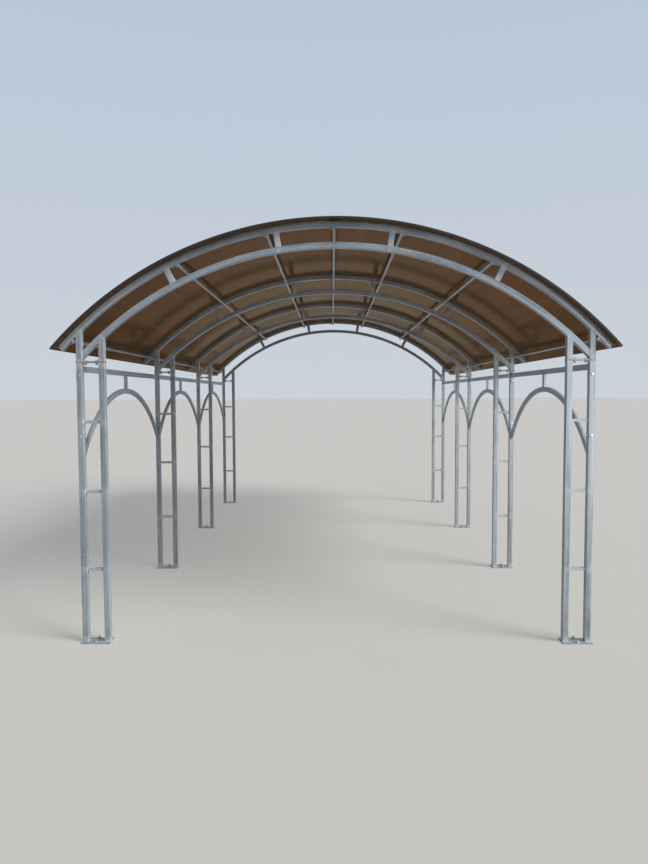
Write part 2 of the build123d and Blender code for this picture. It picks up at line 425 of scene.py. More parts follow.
class Build:
    """Vertices and faces of one piece, gathered part by part."""

    def __init__(self):
        self.verts = []
        self.faces = []
        self.spray = []
        self.marks = []

    def ring(self, points, spray=0.0, marks=None):
        """Adds a ring, with its share of weld spray and its places along and round the tube."""
        start = len(self.verts)
        self.verts.extend(tuple(point) for point in points)
        self.spray.extend([spray] * len(points))
        self.marks.extend(Vector(place) for place in marks or points)
        return list(range(start, start + len(points)))

    def join_rings(self, first, second):
        count = len(first)
        for i in range(count):
            j = (i + 1) % count
            self.faces.append((first[i], first[j], second[j], second[i]))

    def loft(self, rings, caps=(True, True), closed=False):
        """Skins a row of rings and closes its ends, or joins the last ring to the first."""
        for first, second in zip(rings, rings[1:]):
            self.join_rings(first, second)
        if closed:
            self.join_rings(rings[-1], rings[0])
            return
        if caps[0]:
            self.faces.append(tuple(reversed(rings[0])))
        if caps[1]:
            self.faces.append(tuple(rings[-1]))

    def add(self, other, place):
        """Copies another build, moved by a matrix."""
        start = len(self.verts)
        self.verts.extend(tuple(place @ Vector(point)) for point in other.verts)
        self.spray.extend(other.spray)
        self.marks.extend(mark + place.translation * COPY_SHIFT for mark in other.marks)
        self.faces.extend(tuple(start + i for i in face) for face in other.faces)


def linked(name, data):
    """Object that holds a mesh, a lamp or a camera, in the scene."""
    holder = bpy.data.objects.new(name, data)
    bpy.context.scene.collection.objects.link(holder)
    return holder


def finished(build, name, finish, *replaced, smooth_angle=38.0):
    """Turns a build into a piece that rides on the carport's one body."""
    material, slot = finish
    mesh = bpy.data.meshes.new(name)
    mesh.from_pydata(build.verts, [], build.faces)
    shell = bmesh.new()
    shell.from_mesh(mesh)
    bmesh.ops.recalc_face_normals(shell, faces=shell.faces)
    shell.to_mesh(mesh)
    shell.free()
    spray = mesh.attributes.new("weld_spray", "FLOAT", "POINT")
    spray.data.foreach_set("value", build.spray)
    marks = mesh.attributes.new("tube_marks", "FLOAT_VECTOR", "POINT")
    marks.data.foreach_set("vector", [value for mark in build.marks for value in mark])
    mesh.polygons.foreach_set("use_smooth", [True] * len(mesh.polygons))
    mesh.set_sharp_from_angle(angle=math.radians(smooth_angle))
    mesh.materials.append(material)
    piece = linked(name, mesh)
    flats = piece.modifiers.new("even_flats", "WEIGHTED_NORMAL")
    flats.keep_sharp = True
    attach(piece, "root")
    if replaced:
        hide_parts(*replaced)


def stand_in(build, node, ending="_tube", finish=STEEL, smooth_angle=38.0):
    """Finishes the piece that is shown in place of a node and named after it."""
    finished(build, node + ending, finish, node, smooth_angle=smooth_angle)


def rounded(width, depth, corner, steps=3):
    """Loop of a rectangle with round corners, centred on zero."""
    loop = []
    for sx, sy, start in ((1, 1, 0), (-1, 1, 90), (-1, -1, 180), (1, -1, 270)):
        cx = sx * (width / 2 - corner)
        cy = sy * (depth / 2 - corner)
        for step in range(steps + 1):
            angle = math.radians(start + 90 * step / steps)
            loop.append((cx + corner * math.cos(angle), cy + corner * math.sin(angle)))
    return loop


def circle(radius, steps):
    turns = [2 * math.pi * step / steps for step in range(steps)]
    return [(radius * math.cos(turn), radius * math.sin(turn)) for turn in turns]


def evenly(loop, step):
    """Points along a closed loop at a nearly even step."""
    points = []
    for (u, v), (next_u, next_v) in zip(loop, loop[1:] + loop[:1]):
        count = max(1, round(math.hypot(next_u - u, next_v - v) / step))
        for k in range(count):
            points.append((u + (next_u - u) * k / count, v + (next_v - v) * k / count))
    return points


def tube_loops(width, depth, corner, wall):
    """Outer and inner outline of a tube."""
    return rounded(width, depth, corner), rounded(width - 2 * wall, depth - 2 * wall, corner - wall)


def weld_loop(width, depth, corner, size):
    """Path of a weld bead round a bar."""
    return evenly(rounded(width + size / 2, depth + size / 2, corner, 2), WELD_STEP)


TUBE_OUTER, TUBE_INNER = tube_loops(TUBE, TUBE, TUBE_CORNER, TUBE_WALL)
PURLIN_OUTER, PURLIN_INNER = tube_loops(PURLIN, PURLIN, SMALL_CORNER, SMALL_WALL)
SIDE_OUTER, SIDE_INNER = tube_loops(SIDE_WIDTH, SIDE_DEPTH, SMALL_CORNER, SMALL_WALL)
RUNG_LOOP = rounded(RUNG, RUNG, RUNG_CORNER, 2)
TUBE_BEAD = weld_loop(TUBE, TUBE, TUBE_CORNER, WELD)
FLANGE_BEAD = weld_loop(TUBE, TUBE, TUBE_CORNER, FLANGE_WELD)
RUNG_BEAD = weld_loop(RUNG, RUNG, RUNG_CORNER, WELD)
SIDE_BEAD = weld_loop(SIDE_WIDTH, SIDE_DEPTH, SMALL_CORNER, WELD)

Station = namedtuple("Station", "origin across up move spray", defaults=(None, 0))


def placed(loop, station):
    points = [station.origin + station.across * u + station.up * v for u, v in loop]
    if station.move:
        points = [station.move(point) for point in points]
    return points


def sweep(build, stations, outer, inner=None):
    """Carries a loop through the stations, as a solid bar or a tube with open ends."""
    lengths = [sum(stations[0].origin) * TUBE_SHIFT]
    for first, second in zip(stations, stations[1:]):
        lengths.append(lengths[-1] + (second.origin - first.origin).length)
    walls = []
    for loop in (outer, inner):
        if loop:
            walls.append([])
            for station, length in zip(stations, lengths):
                marks = [(u, v, length) for u, v in loop]
                walls[-1].append(build.ring(placed(loop, station), station.spray, marks))
    if inner is None:
        build.loft(walls[0])
        return
    for rings in walls:
        build.loft(rings, caps=(False, False))
    build.join_rings(walls[0][0], walls[1][0])
    build.join_rings(walls[0][-1], walls[1][-1])


def run(start, end, across, up, moves=(None, None), spray=(1.0, 1.0), joints=()):
    """Stations of a straight bar, with rings where the weld spray of its ends and joints fades."""
    start, end = Vector(start), Vector(end)
    length = (end - start).length
    fades = SHORT_FADE if length < SHORT_BAR else WELD_FADE
    stops = [(offset, share * spray[0]) for offset, share in fades]
    for joint in joints:
        for side in (-1, 1):
            stops += [(joint + side * offset, share * JOINT_SPRAY) for offset, share in fades]
    stops += [(length - offset, share * spray[1]) for offset, share in fades]
    stations = []
    for offset, share in sorted(set(stops)):
        move = moves[0] if offset == 0 else moves[1] if offset == length else None
        stations.append(Station(start.lerp(end, offset / length), across, up, move, share))
    return stations


def bend(coordinate, centre, radius, first, last, steps, moves=(None, None), sprayed=()):
    """Stations along an arc in an upright plane, turned from the crown towards +X or +Y."""
    stations = []
    for step in range(steps + 1):
        angle = first + (last - first) * step / steps
        outward = Vector((0, 0, math.cos(angle)))
        outward[coordinate] = math.sin(angle)
        across = Y_AXIS if coordinate == 0 else X_AXIS
        move = moves[0] if step == 0 else moves[1] if step == steps else None
        distance = min([abs(angle - other) * radius for other in sprayed], default=1.0)
        spray = max(0.0, BEND_SPRAY - distance / BEND_FADE)
        stations.append(Station(centre + outward * radius, across, outward, move, spray))
    return stations


def onto_cylinder(coordinate, centre, radius):
    """Moves a point straight up or down onto a cylinder."""
    def move(point):
        reach = point[coordinate] - centre[coordinate]
        return Vector((point.x, point.y, centre.z + math.sqrt(radius ** 2 - reach ** 2)))
    return move


def plumb_at(coordinate, centre, limit):
    """Slides a point round its own circle to a plumb plane."""
    def move(point):
        radius = math.hypot(point[coordinate] - centre[coordinate], point.z - centre.z)
        slid = point.copy()
        slid[coordinate] = limit
        slid.z = centre.z + math.sqrt(radius ** 2 - (limit - centre[coordinate]) ** 2)
        return slid
    return move


def without_crossings(stations):
    """Leaves out the rings next to plumb cuts, which would cross them."""
    return stations[:1] + stations[3:-3] + stations[-1:]


def slab(build, place, loop_at, height, soften=0.0008):
    """Flat piece with softened rims. loop_at gives its outline for an inset."""
    levels = ((soften, 0.0), (0.0, soften), (0.0, height - soften), (soften, height))
    rings = []
    for inset, z in levels:
        rings.append(build.ring([place @ Vector((u, v, z)) for u, v in loop_at(inset)]))
    build.loft(rings)


def rectangle(width, depth, corner):
    return lambda inset: rounded(width - 2 * inset, depth - 2 * inset, corner, 2)


def drilled_slab(length, width, height, hole_places, hole_radius, soften=0.0006):
    """Plate with round holes, its underside at zero."""
    outline = rounded(length, width, BASE_CORNER)
    holes = [[(x + u, y + v) for u, v in circle(hole_radius, HOLE_POINTS)] for x, y in hole_places]
    shell = bmesh.new()
    edges = []
    for loop in [outline] + holes:
        verts = [shell.verts.new((u, v, 0.0)) for u, v in loop]
        edges += [shell.edges.new(pair) for pair in zip(verts, verts[1:] + verts[:1])]
    filled = bmesh.ops.triangle_fill(shell, edges=edges, use_beauty=True)
    faces = [item for item in filled["geom"] if isinstance(item, bmesh.types.BMFace)]
    raised = bmesh.ops.extrude_face_region(shell, geom=faces, use_keep_orig=True)
    top = [item for item in raised["geom"] if isinstance(item, bmesh.types.BMVert)]
    bmesh.ops.translate(shell, verts=top, vec=(0, 0, height))
    bmesh.ops.recalc_face_normals(shell, faces=shell.faces)
    rims = [edge for edge in shell.edges if edge.calc_face_angle(0.0) > math.radians(60)]
    bmesh.ops.bevel(shell, geom=rims, offset=soften, segments=1, affect="EDGES")
    plate = Build()
    shell.verts.index_update()
    plate.ring([vert.co.copy() for vert in shell.verts])
    plate.faces = [tuple(vert.index for vert in face.verts) for face in shell.faces]
    shell.free()
    return plate


def bead(build, loop, station, size, rng):
    """Weld bead round a loop at a station: rings that swell and shrink like ripples."""
    points = placed(loop, station)
    centre = sum(points, Vector()) / len(points)
    rings = []
    for number, point in enumerate(points):
        along = (points[(number + 1) % len(points)] - points[number - 1]).normalized()
        outward = point - centre
        outward = (outward - along * outward.dot(along)).normalized()
        side = along.cross(outward)
        reach = size * WELD_RIPPLE[number % 2] * rng.uniform(0.85, 1.15)
        rings.append(build.ring([point + outward * u + side * v for u, v in circle(reach, WELD_POINTS)]))
    build.loft(rings, closed=True)


def at(x, y, z):
    return Matrix.Translation((x, y, z))


def facing(point, direction, spin=0.0):
    """Matrix that stands a piece on a point, pointing along a direction."""
    turn = Vector(direction).to_track_quat("Z", "Y").to_matrix().to_4x4()
    return Matrix.Translation(point) @ turn @ Matrix.Rotation(spin, 4, "Z")


def round_the_roof(angle):
    """Swings a piece built over the crown round the arc axis."""
    return at(0, 0, ARC_Z) @ Matrix.Rotation(angle, 4, "Y") @ at(0, 0, -ARC_Z)


ROOF_AXIS = Vector((0, 0, ARC_Z))


# Columns

FLANGE_OUTLINE = rectangle(FLANGE_LENGTH, FLANGE_WIDTH, FLANGE_CORNER)


def column_plates():
    """Base plates with two anchor holes and head plates, four on each frame."""
    anchor_holes = [(0, offset) for offset in mirrored(ANCHOR_SPACING / 2)]
    base = drilled_slab(BASE_LENGTH, BASE_WIDTH, PLATE, anchor_holes, ANCHOR_HOLE_R)
    for index, y in FRAME_Y.items():
        build = Build()
        for x in mirrored(PAIR_X):
            build.add(base, at(x, y, 0))
            slab(build, at(x, y, POST_TOP_Z), FLANGE_OUTLINE, PLATE)
        stand_in(build, "column_plates_%d" % index, "_cut")


def posts():
    """Square tube posts between base plate and head plate."""
    joints = [z - PLATE for z in RUNG_HEIGHTS]
    for index, y in FRAME_Y.items():
        for row, post_x in (("outer", OUTER_POST_X), ("inner", INNER_POST_X)):
            build = Build()
            for x in mirrored(post_x):
                stations = run((x, y, PLATE), (x, y, POST_TOP_Z), X_AXIS, Y_AXIS, joints=joints)
                sweep(build, stations, TUBE_OUTER, TUBE_INNER)
            stand_in(build, "%s_posts_%d" % (row, index))


def rungs():
    """Square bars between the two posts of each column."""
    for index, y in FRAME_Y.items():
        build = Build()
        for x in mirrored(PAIR_X):
            for z in RUNG_HEIGHTS:
                ends = ((x - RUNG_REACH, y, z), (x + RUNG_REACH, y, z))
                sweep(build, run(*ends, Y_AXIS, Z_AXIS), RUNG_LOOP)
        stand_in(build, "rungs_%d" % index, "_bar")


def column_welds():
    """Beads round the posts at both plates and round both ends of every rung."""
    rng = random.Random(11)
    build = Build()
    for y in FRAME_Y.values():
        for x in mirrored(OUTER_POST_X, INNER_POST_X):
            for z, loop, size in ((PLATE, TUBE_BEAD, WELD), (POST_TOP_Z, FLANGE_BEAD, FLANGE_WELD)):
                bead(build, loop, Station(Vector((x, y, z)), X_AXIS, Y_AXIS), size, rng)
        for x in mirrored(PAIR_X):
            for z in RUNG_HEIGHTS:
                for end in mirrored(RUNG_REACH):
                    station = Station(Vector((x + end, y, z)), Y_AXIS, Z_AXIS)
                    bead(build, RUNG_BEAD, station, WELD, rng)
    finished(build, "column_welds", WELD_METAL, smooth_angle=80)


# Truss

LEGS = ((OUTER_POST_X, OUTER_R - HALF), (INNER_POST_X, INNER_R - HALF))
STRUT_FOOT_R = INNER_R + HALF
STRUT_TOP_R = OUTER_R - HALF
STRUT_CUTS = [onto_cylinder(0, ROOF_AXIS, radius) for radius in (STRUT_FOOT_R, STRUT_TOP_R)]
INNER_ARCH_REACH = OUTER_POST_X - HALF
INNER_ARCH_ANGLE = math.asin(INNER_ARCH_REACH / INNER_R)


def truss_legs():
    """Foot plates with two short posts, their tops cut to the undersides of the arches."""
    for index, y in FRAME_Y.items():
        build = Build()
        for side in SIDES.values():
            slab(build, at(side * PAIR_X, y, SPLICE_Z), FLANGE_OUTLINE, PLATE)
            for leg_x, radius in LEGS:
                x = side * leg_x
                cut = onto_cylinder(0, ROOF_AXIS, radius)
                top = cut(Vector((x, y, 0)))
                foot = (x, y, SPLICE_Z + PLATE)
                stations = run(foot, top, X_AXIS, Y_AXIS, (None, cut), spray=(0.6, 0.4))
                sweep(build, stations, TUBE_OUTER, TUBE_INNER)
        stand_in(build, "truss_legs_%d" % index)


def outer_arches():
    """Bent tubes that carry the roof, closed at both ends."""
    leg_angle = math.asin(OUTER_POST_X / OUTER_R)
    joints = STRUT_ANGLES + mirrored(leg_angle)
    for index, y in FRAME_Y.items():
        centre = Vector((0, y, ARC_Z))
        build = Build()
        ends = (-OUTER_HALF_ANGLE, OUTER_HALF_ANGLE)
        stations = bend(0, centre, OUTER_R, *ends, OUTER_ARCH_STEPS, sprayed=joints)
        sweep(build, stations, TUBE_OUTER)
        stand_in(build, "outer_arch_%d" % index)


def inner_arches():
    """Bent tubes that end plumb against the outer legs."""
    reach = INNER_ARCH_ANGLE
    leg_angle = math.asin(INNER_POST_X / INNER_R)
    joints = STRUT_ANGLES + mirrored(leg_angle, reach)
    for index, y in FRAME_Y.items():
        centre = Vector((0, y, ARC_Z))
        cuts = [plumb_at(0, centre, x) for x in mirrored(INNER_ARCH_REACH)]
        stations = bend(0, centre, INNER_R, -reach, reach, INNER_ARCH_STEPS, cuts, joints)
        build = Build()
        sweep(build, without_crossings(stations), TUBE_OUTER)
        stand_in(build, "inner_arch_%d" % index)


def arch_struts():
    """Radial struts between the two arches of one truss."""
    for index, y in FRAME_Y.items():
        strut = Build()
        ends = ((0, y, ARC_Z + STRUT_FOOT_R), (0, y, ARC_Z + STRUT_TOP_R))
        sweep(strut, run(*ends, X_AXIS, Y_AXIS, STRUT_CUTS, spray=(1.0, 0.5)), TUBE_OUTER, TUBE_INNER)
        build = Build()
        for angle in STRUT_ANGLES:
            build.add(strut, round_the_roof(angle))
        stand_in(build, "arch_struts_%d" % index)


def truss_welds():
    """Beads round the legs, the struts and the plumb ends of the inner arches."""
    rng = random.Random(23)
    build = Build()
    for y in FRAME_Y.values():
        for side in SIDES.values():
            for leg_x, radius in LEGS:
                foot = Station(Vector((side * leg_x, y, SPLICE_Z + PLATE)), X_AXIS, Y_AXIS)
                top = foot._replace(move=onto_cylinder(0, ROOF_AXIS, radius))
                bead(build, FLANGE_BEAD, foot, FLANGE_WELD, rng)
                bead(build, TUBE_BEAD, top, WELD, rng)
            centre = Vector((0, y, ARC_Z))
            cut = plumb_at(0, centre, side * INNER_ARCH_REACH)
            end = bend(0, centre, INNER_R, 0, side * INNER_ARCH_ANGLE, 1, (None, cut))[-1]
            bead(build, TUBE_BEAD, end, WELD, rng)
        for angle in STRUT_ANGLES:
            for cut in STRUT_CUTS:
                weld = Build()
                bead(weld, TUBE_BEAD, Station(Vector((0, y, 0)), X_AXIS, Y_AXIS, cut), WELD, rng)
                build.add(weld, round_the_roof(angle))
    finished(build, "truss_welds", WELD_METAL, smooth_angle=80)


# Side panels

LUG_INNER = HALF_BAY - LUG_THICK
BOW_AXIS_Z = SIDE_CROWN_Z - SIDE_ARCH_R


def lug_pair(build, x, y, low_z, high_z):
    """Flat end plates against the two post faces of one bay."""
    outline = rectangle(LUG_WIDTH, high_z - low_z, LUG_CORNER)
    for end in (-1, 1):
        point = Vector((x, y + end * HALF_BAY, (low_z + high_z) / 2))
        slab(build, facing(point, (0, -end, 0)), outline, LUG_THICK, soften=0.0005)


def bow_stations(x, y):
    """Stations of the bent tube of one bay, cut plumb at its lugs."""
    centre = Vector((x, y, BOW_AXIS_Z))
    reach = math.asin(LUG_INNER / SIDE_ARCH_R)
    cuts = [plumb_at(1, centre, y + offset) for offset in mirrored(LUG_INNER)]
    joints = (-reach, 0.0, reach)
    return without_crossings(bend(1, centre, SIDE_ARCH_R, -reach, reach, BOW_STEPS, cuts, joints))


def bow_top(x, y):
    return onto_cylinder(1, Vector((x, y, BOW_AXIS_Z)), SIDE_ARCH_R + SIDE_DEPTH / 2)


def side_arches():
    """Bent flat tubes with end lugs and a strut up to the rail."""
    for name, side in SIDES.items():
        x = side * OUTER_POST_X
        build = Build()
        for y in BAY_Y:
            sweep(build, bow_stations(x, y), SIDE_OUTER)
            lug_pair(build, x, y, FOOT_LUG_LOW_Z, FOOT_LUG_LOW_Z + FOOT_LUG_HEIGHT)
            foot = (x, y, SIDE_CROWN_Z + SIDE_DEPTH / 2)
            top = (x, y, SIDE_RAIL_Z - SIDE_DEPTH / 2)
            sweep(build, run(foot, top, X_AXIS, Y_AXIS, (bow_top(x, y), None)), SIDE_OUTER, SIDE_INNER)
        stand_in(build, name + "_side_arches")


def rail_stations(x, y):
    return run((x, y - LUG_INNER, SIDE_RAIL_Z), (x, y + LUG_INNER, SIDE_RAIL_Z), X_AXIS, Z_AXIS)


def side_rails():
    """Straight flat tubes welded to an end lug at each post."""
    for name, side in SIDES.items():
        x = side * OUTER_POST_X
        build = Build()
        for y in BAY_Y:
            sweep(build, rail_stations(x, y), SIDE_OUTER, SIDE_INNER)
            lug_pair(build, x, y, RAIL_LUG_LOW_Z, SIDE_RAIL_Z + SIDE_DEPTH / 2)
        stand_in(build, name + "_side_rails")


def side_welds():
    """Beads where the bows, rails and struts of the side panels meet."""
    rng = random.Random(37)
    build = Build()
    for x in mirrored(OUTER_POST_X):
        for y in BAY_Y:
            bow, rail = bow_stations(x, y), rail_stations(x, y)
            strut_top = Station(Vector((x, y, SIDE_RAIL_Z - SIDE_DEPTH / 2)), X_AXIS, Y_AXIS)
            strut_foot = strut_top._replace(move=bow_top(x, y))
            for joint in (bow[0], bow[-1], rail[0], rail[-1], strut_top, strut_foot):
                bead(build, SIDE_BEAD, joint, SIDE_WELD, rng)
    finished(build, "side_panel_welds", WELD_METAL, smooth_angle=80)


# Purlins

def purlins():
    """Small square tubes along the roof under the outer arches."""
    tube = Build()
    ends = [(0, y, ARC_Z + PURLIN_R) for y in mirrored(PURLIN_HALF_LENGTH)]
    sweep(tube, run(*ends, X_AXIS, Z_AXIS, spray=(0, 0)), PURLIN_OUTER, PURLIN_INNER)
    for node, angles in PURLIN_ANGLES.items():
        build = Build()
        for angle in angles:
            build.add(tube, round_the_roof(angle))
        stand_in(build, node)


def purlin_caps():
    """Thin steel caps set in both ends of every purlin."""
    face, face_thick, face_corner = PURLIN - 0.0006, 0.0018, 0.002
    stem, stem_depth, stem_corner = PURLIN - 2 * SMALL_WALL - 0.0004, 0.008, 0.0006
    cap = Build()
    slab(cap, at(0, 0, 0), rectangle(face, face, face_corner), face_thick, soften=0.0005)
    slab(cap, at(0, 0, -stem_depth), rectangle(stem, stem, stem_corner), stem_depth, soften=0.0004)
    build = Build()
    for angle in ALL_PURLIN_ANGLES:
        for end in (-1, 1):
            point = Vector((0, end * PURLIN_HALF_LENGTH, ARC_Z + PURLIN_R))
            build.add(cap, round_the_roof(angle) @ facing(point, (0, end, 0)))
    finished(build, "purlin_caps", STEEL)


# Roof

def skin_sag(angle, edge_angle, y):
    """Inward depth of the skin between two ribs, with a slow wave along the sheet."""
    flute_depth, wave_depth = 0.00014, 0.0002
    flute = flute_depth * math.sin(math.pi * (angle - edge_angle) * SHEET_MID_R / FLUTE_PITCH) ** 2
    wave = math.sin(2.1 * y + 5.0 * angle) * math.sin(1.3 * y - 9.0 * angle)
    return flute + wave_depth * (1.0 + wave)


def roof_sheets():
    """Twin-wall sheets bent over the arches, with the skins sunk a little between the ribs."""
    points_per_flute = 4
    rows = 24
    for name, side in SIDES.items():
        node = name + "_roof_sheet"
        length_low, length_high = low(node).y, high(node).y
        inner_x = min(abs(low(node).x), abs(high(node).x))
        first = math.asin(inner_x / SHEET_R)
        last = first + SHEET_WIDTH / SHEET_MID_R
        count = round(SHEET_WIDTH / FLUTE_PITCH) * points_per_flute
        angles = [first + (last - first) * i / count for i in range(count + 1)]
        skins = ((angles, SHEET_R + SHEET_THICK, -1), (angles[::-1], SHEET_R, 1))
        build = Build()
        rings = []
        for row in range(rows + 1):
            y = length_low + (length_high - length_low) * row / rows
            points = []
            for skin, face_r, inward in skins:
                for angle in skin:
                    radius = face_r + inward * skin_sag(angle, first, y)
                    points.append((side * radius * math.sin(angle), y, ARC_Z + radius * math.cos(angle)))
            rings.append(build.ring(points))
        build.loft(rings, caps=(False, False))
        for ring in (rings[0], rings[-1]):
            for i in range(count):
                build.faces.append((ring[i], ring[i + 1], ring[-2 - i], ring[-1 - i]))
        stand_in(build, node, "_twin_wall", SHEET, smooth_angle=60)


def edge_strips():
    """Channels over the front and rear ends of both sheets, bent along the arc."""
    wall, fit, depth = 0.0015, 0.0002, 0.014
    tall = SHEET_THICK / 2 + fit
    half_angle = (SHEET_WIDTH + SHEET_TO_CROWN) / SHEET_MID_R
    soft = 0.0005
    upper_half = [
        (wall, tall + wall - 2 * soft), (wall - 2 * soft, tall + wall),
        (-depth + soft, tall + wall), (-depth, tall + wall - soft), (-depth, tall), (0, tall),
    ]
    channel = upper_half + [(u, -v) for u, v in reversed(upper_half)]
    build = Build()
    for end in (-1, 1):
        edge = end * (high("left_roof_sheet").y + fit)
        stations = bend(0, Vector((0, edge, ARC_Z)), SHEET_MID_R, -half_angle, half_angle, STRIP_STEPS)
        sweep(build, stations, [(end * u, v) for u, v in channel])
    stand_in(build, "edge_strips", "_channel", PROFILE)


def ridge_strip():
    """T-shaped strip over the joint between the sheets, with rounded flange edges."""
    top = high("ridge_strip").z
    half_flange = high("ridge_strip").x
    half_length = high("ridge_strip").y
    wall, half_web, web_depth = 0.0020, 0.0015, 0.008
    lip, crown = 0.0007, 0.0002
    right_half = [
        (half_web, top - wall - web_depth), (half_web, top - wall), (half_flange - lip, top - wall),
        (half_flange, top - wall + lip), (half_flange - lip, top - crown), (half_web, top),
    ]
    section = right_half + [(-u, v) for u, v in reversed(right_half)]
    build = Build()
    stations = [Station(Vector((0, y, 0)), X_AXIS, Z_AXIS) for y in mirrored(half_length)]
    sweep(build, stations, section)
    stand_in(build, "ridge_strip", "_tee", PROFILE, smooth_angle=30)


# Fasteners

def hexagon(flats, limit):
    """Six-sided loop whose corners are cut back by a circle."""
    loop = []
    for step in range(HEAD_POINTS):
        angle = 2 * math.pi * step / HEAD_POINTS
        across = math.radians(30) - (angle % math.radians(60))
        radius = min(flats / 2 / math.cos(across), limit)
        loop.append((radius * math.cos(angle), radius * math.sin(angle)))
    return loop


def hex_levels(flats, height, both_ends):
    """Outlines and heights of a head or nut with chamfered corners."""
    corner = flats / 2 / math.cos(math.radians(30))
    shoulder, crown = flats * 0.53, flats * 0.47
    chamfer = (corner - crown) * 0.6
    top = [(corner, height - chamfer), (shoulder, height - chamfer * 0.45), (crown, height)]
    bottom = [(corner, 0.0)]
    if both_ends:
        bottom = [(limit, height - z) for limit, z in reversed(top)]
    return [(hexagon(flats, limit), z) for limit, z in bottom + top]


def stack(build, levels, base=0.0):
    build.loft([build.ring([(u, v, base + z) for u, v in loop]) for loop, z in levels])


def washer(build, base, outer, thickness):
    """Disc with a softened rim."""
    radius, rim = outer / 2, thickness * 0.25
    levels = ((radius - rim, 0), (radius, rim), (radius, thickness - rim), (radius - rim, thickness))
    stack(build, [(circle(reach, WASHER_POINTS), z) for reach, z in levels], base)


def thread(build, size, base, length):
    """Bolt end with turned ridges and a chamfered tip."""
    root, crest = size.diameter / 2 * 0.87, size.diameter / 2
    turns = max(2, round(length / size.pitch))
    levels = []
    for turn in range(turns):
        levels += [(root, turn * size.pitch), (crest, (turn + 0.5) * size.pitch)]
    levels.append((root * 0.9, turns * size.pitch))
    stack(build, [(circle(radius, SHANK_POINTS), z) for radius, z in levels], base)


def bolt_head(size):
    """Washer and hexagon head, seated at zero."""
    build = Build()
    washer(build, 0, size.washer_d, size.washer_t)
    stack(build, hex_levels(size.flats, size.head, False), size.washer_t)
    return build


def bolt_nut(size, tail):
    """Washer, nut and the end of the bolt standing out of it."""
    build = Build()
    washer(build, 0, size.washer_d, size.washer_t)
    stack(build, hex_levels(size.flats, size.nut, True), size.washer_t)
    thread(build, size, size.washer_t + size.nut - size.pitch, tail + size.pitch)
    return build


def anchor_bolts():
    """Anchor studs with nuts and washers on the base plates."""
    rng = random.Random(5)
    nut = bolt_nut(M12, tail=0.006)
    shank_ends = (0.0005 - PLATE, 0.001)
    shank = Build()
    stack(shank, [(circle(M12.diameter / 2, SHANK_POINTS), z) for z in shank_ends])
    build = Build()
    for y in FRAME_Y.values():
        for x in mirrored(PAIR_X):
            for offset in mirrored(ANCHOR_SPACING / 2):
                point = (x, y + offset, PLATE)
                build.add(nut, facing(point, (0, 0, 1), rng.uniform(0, 1)))
                build.add(shank, at(*point))
    finished(build, "anchor_bolts", PLATING)


def splice_bolts():
    """Bolts that clamp each truss foot plate on its head plate."""
    rng = random.Random(7)
    head, nut = bolt_head(M10), bolt_nut(M10, tail=0.004)
    build = Build()
    for y in FRAME_Y.values():
        for pair_x in mirrored(PAIR_X):
            for offset in mirrored(SPLICE_BOLT_SPACING / 2):
                x = pair_x + offset
                build.add(head, facing((x, y, SPLICE_Z + PLATE), (0, 0, 1), rng.uniform(0, 1)))
                build.add(nut, facing((x, y, POST_TOP_Z), (0, 0, -1), rng.uniform(0, 1)))
    finished(build, "splice_bolts", PLATING)


def side_panel_bolts():
    """Bolts through the outer posts and the lugs of the side panels."""
    rng = random.Random(13)
    head, nut = bolt_head(M8), bolt_nut(M8, tail=0.004)
    bolt_heights = (RAIL_LUG_LOW_Z + LUG_BOLT_INSET, FOOT_LUG_LOW_Z + FOOT_LUG_HEIGHT - LUG_BOLT_INSET)
    build = Build()
    for index, y in FRAME_Y.items():
        front = y - HALF - (LUG_THICK if index > FRAMES[0] else 0)
        rear = y + HALF + (LUG_THICK if index < FRAMES[-1] else 0)
        for x in mirrored(OUTER_POST_X):
            for z in bolt_heights:
                build.add(head, facing((x, front, z), (0, -1, 0), rng.uniform(0, 1)))
                build.add(nut, facing((x, rear, z), (0, 1, 0), rng.uniform(0, 1)))
    finished(build, "side_panel_bolts", PLATING)


def purlin_cleats():
    """Angle cleats with two screws each, where the purlins cross the arches."""
    thick, leg, drop, length, gap = 0.0025, 0.026, 0.017, 0.028, 0.0002
    screw_reach, screw_drop = leg * 0.62, 0.0105
    section = [(0, 0), (leg, 0), (leg, -thick), (thick, -thick), (thick, -drop), (0, -drop)]
    corner = Vector((PURLIN / 2 + gap, 0, ARC_Z + OUTER_R - HALF - gap))
    ends = [Station(corner + Y_AXIS * end, X_AXIS, Z_AXIS) for end in mirrored(length / 2)]
    cleat, pair, build, screws = Build(), Build(), Build(), Build()
    sweep(cleat, ends, section)
    screw = bolt_head(CLEAT_SCREW)
    pair.add(screw, facing(corner + Vector((screw_reach, 0, -thick)), (0, 0, -1)))
    pair.add(screw, facing(corner + Vector((thick, 0, -screw_drop)), (1, 0, 0)))
    for angle in ALL_PURLIN_ANGLES:
        flip = Matrix.Scale(1 if angle > 0 else -1, 4, X_AXIS)
        for y in FRAME_Y.values():
            place = round_the_roof(angle) @ at(0, y, 0) @ flip
            build.add(cleat, place)
            screws.add(pair, place)
    finished(build, "purlin_cleats", STEEL)
    finished(screws, "cleat_screws", PLATING)


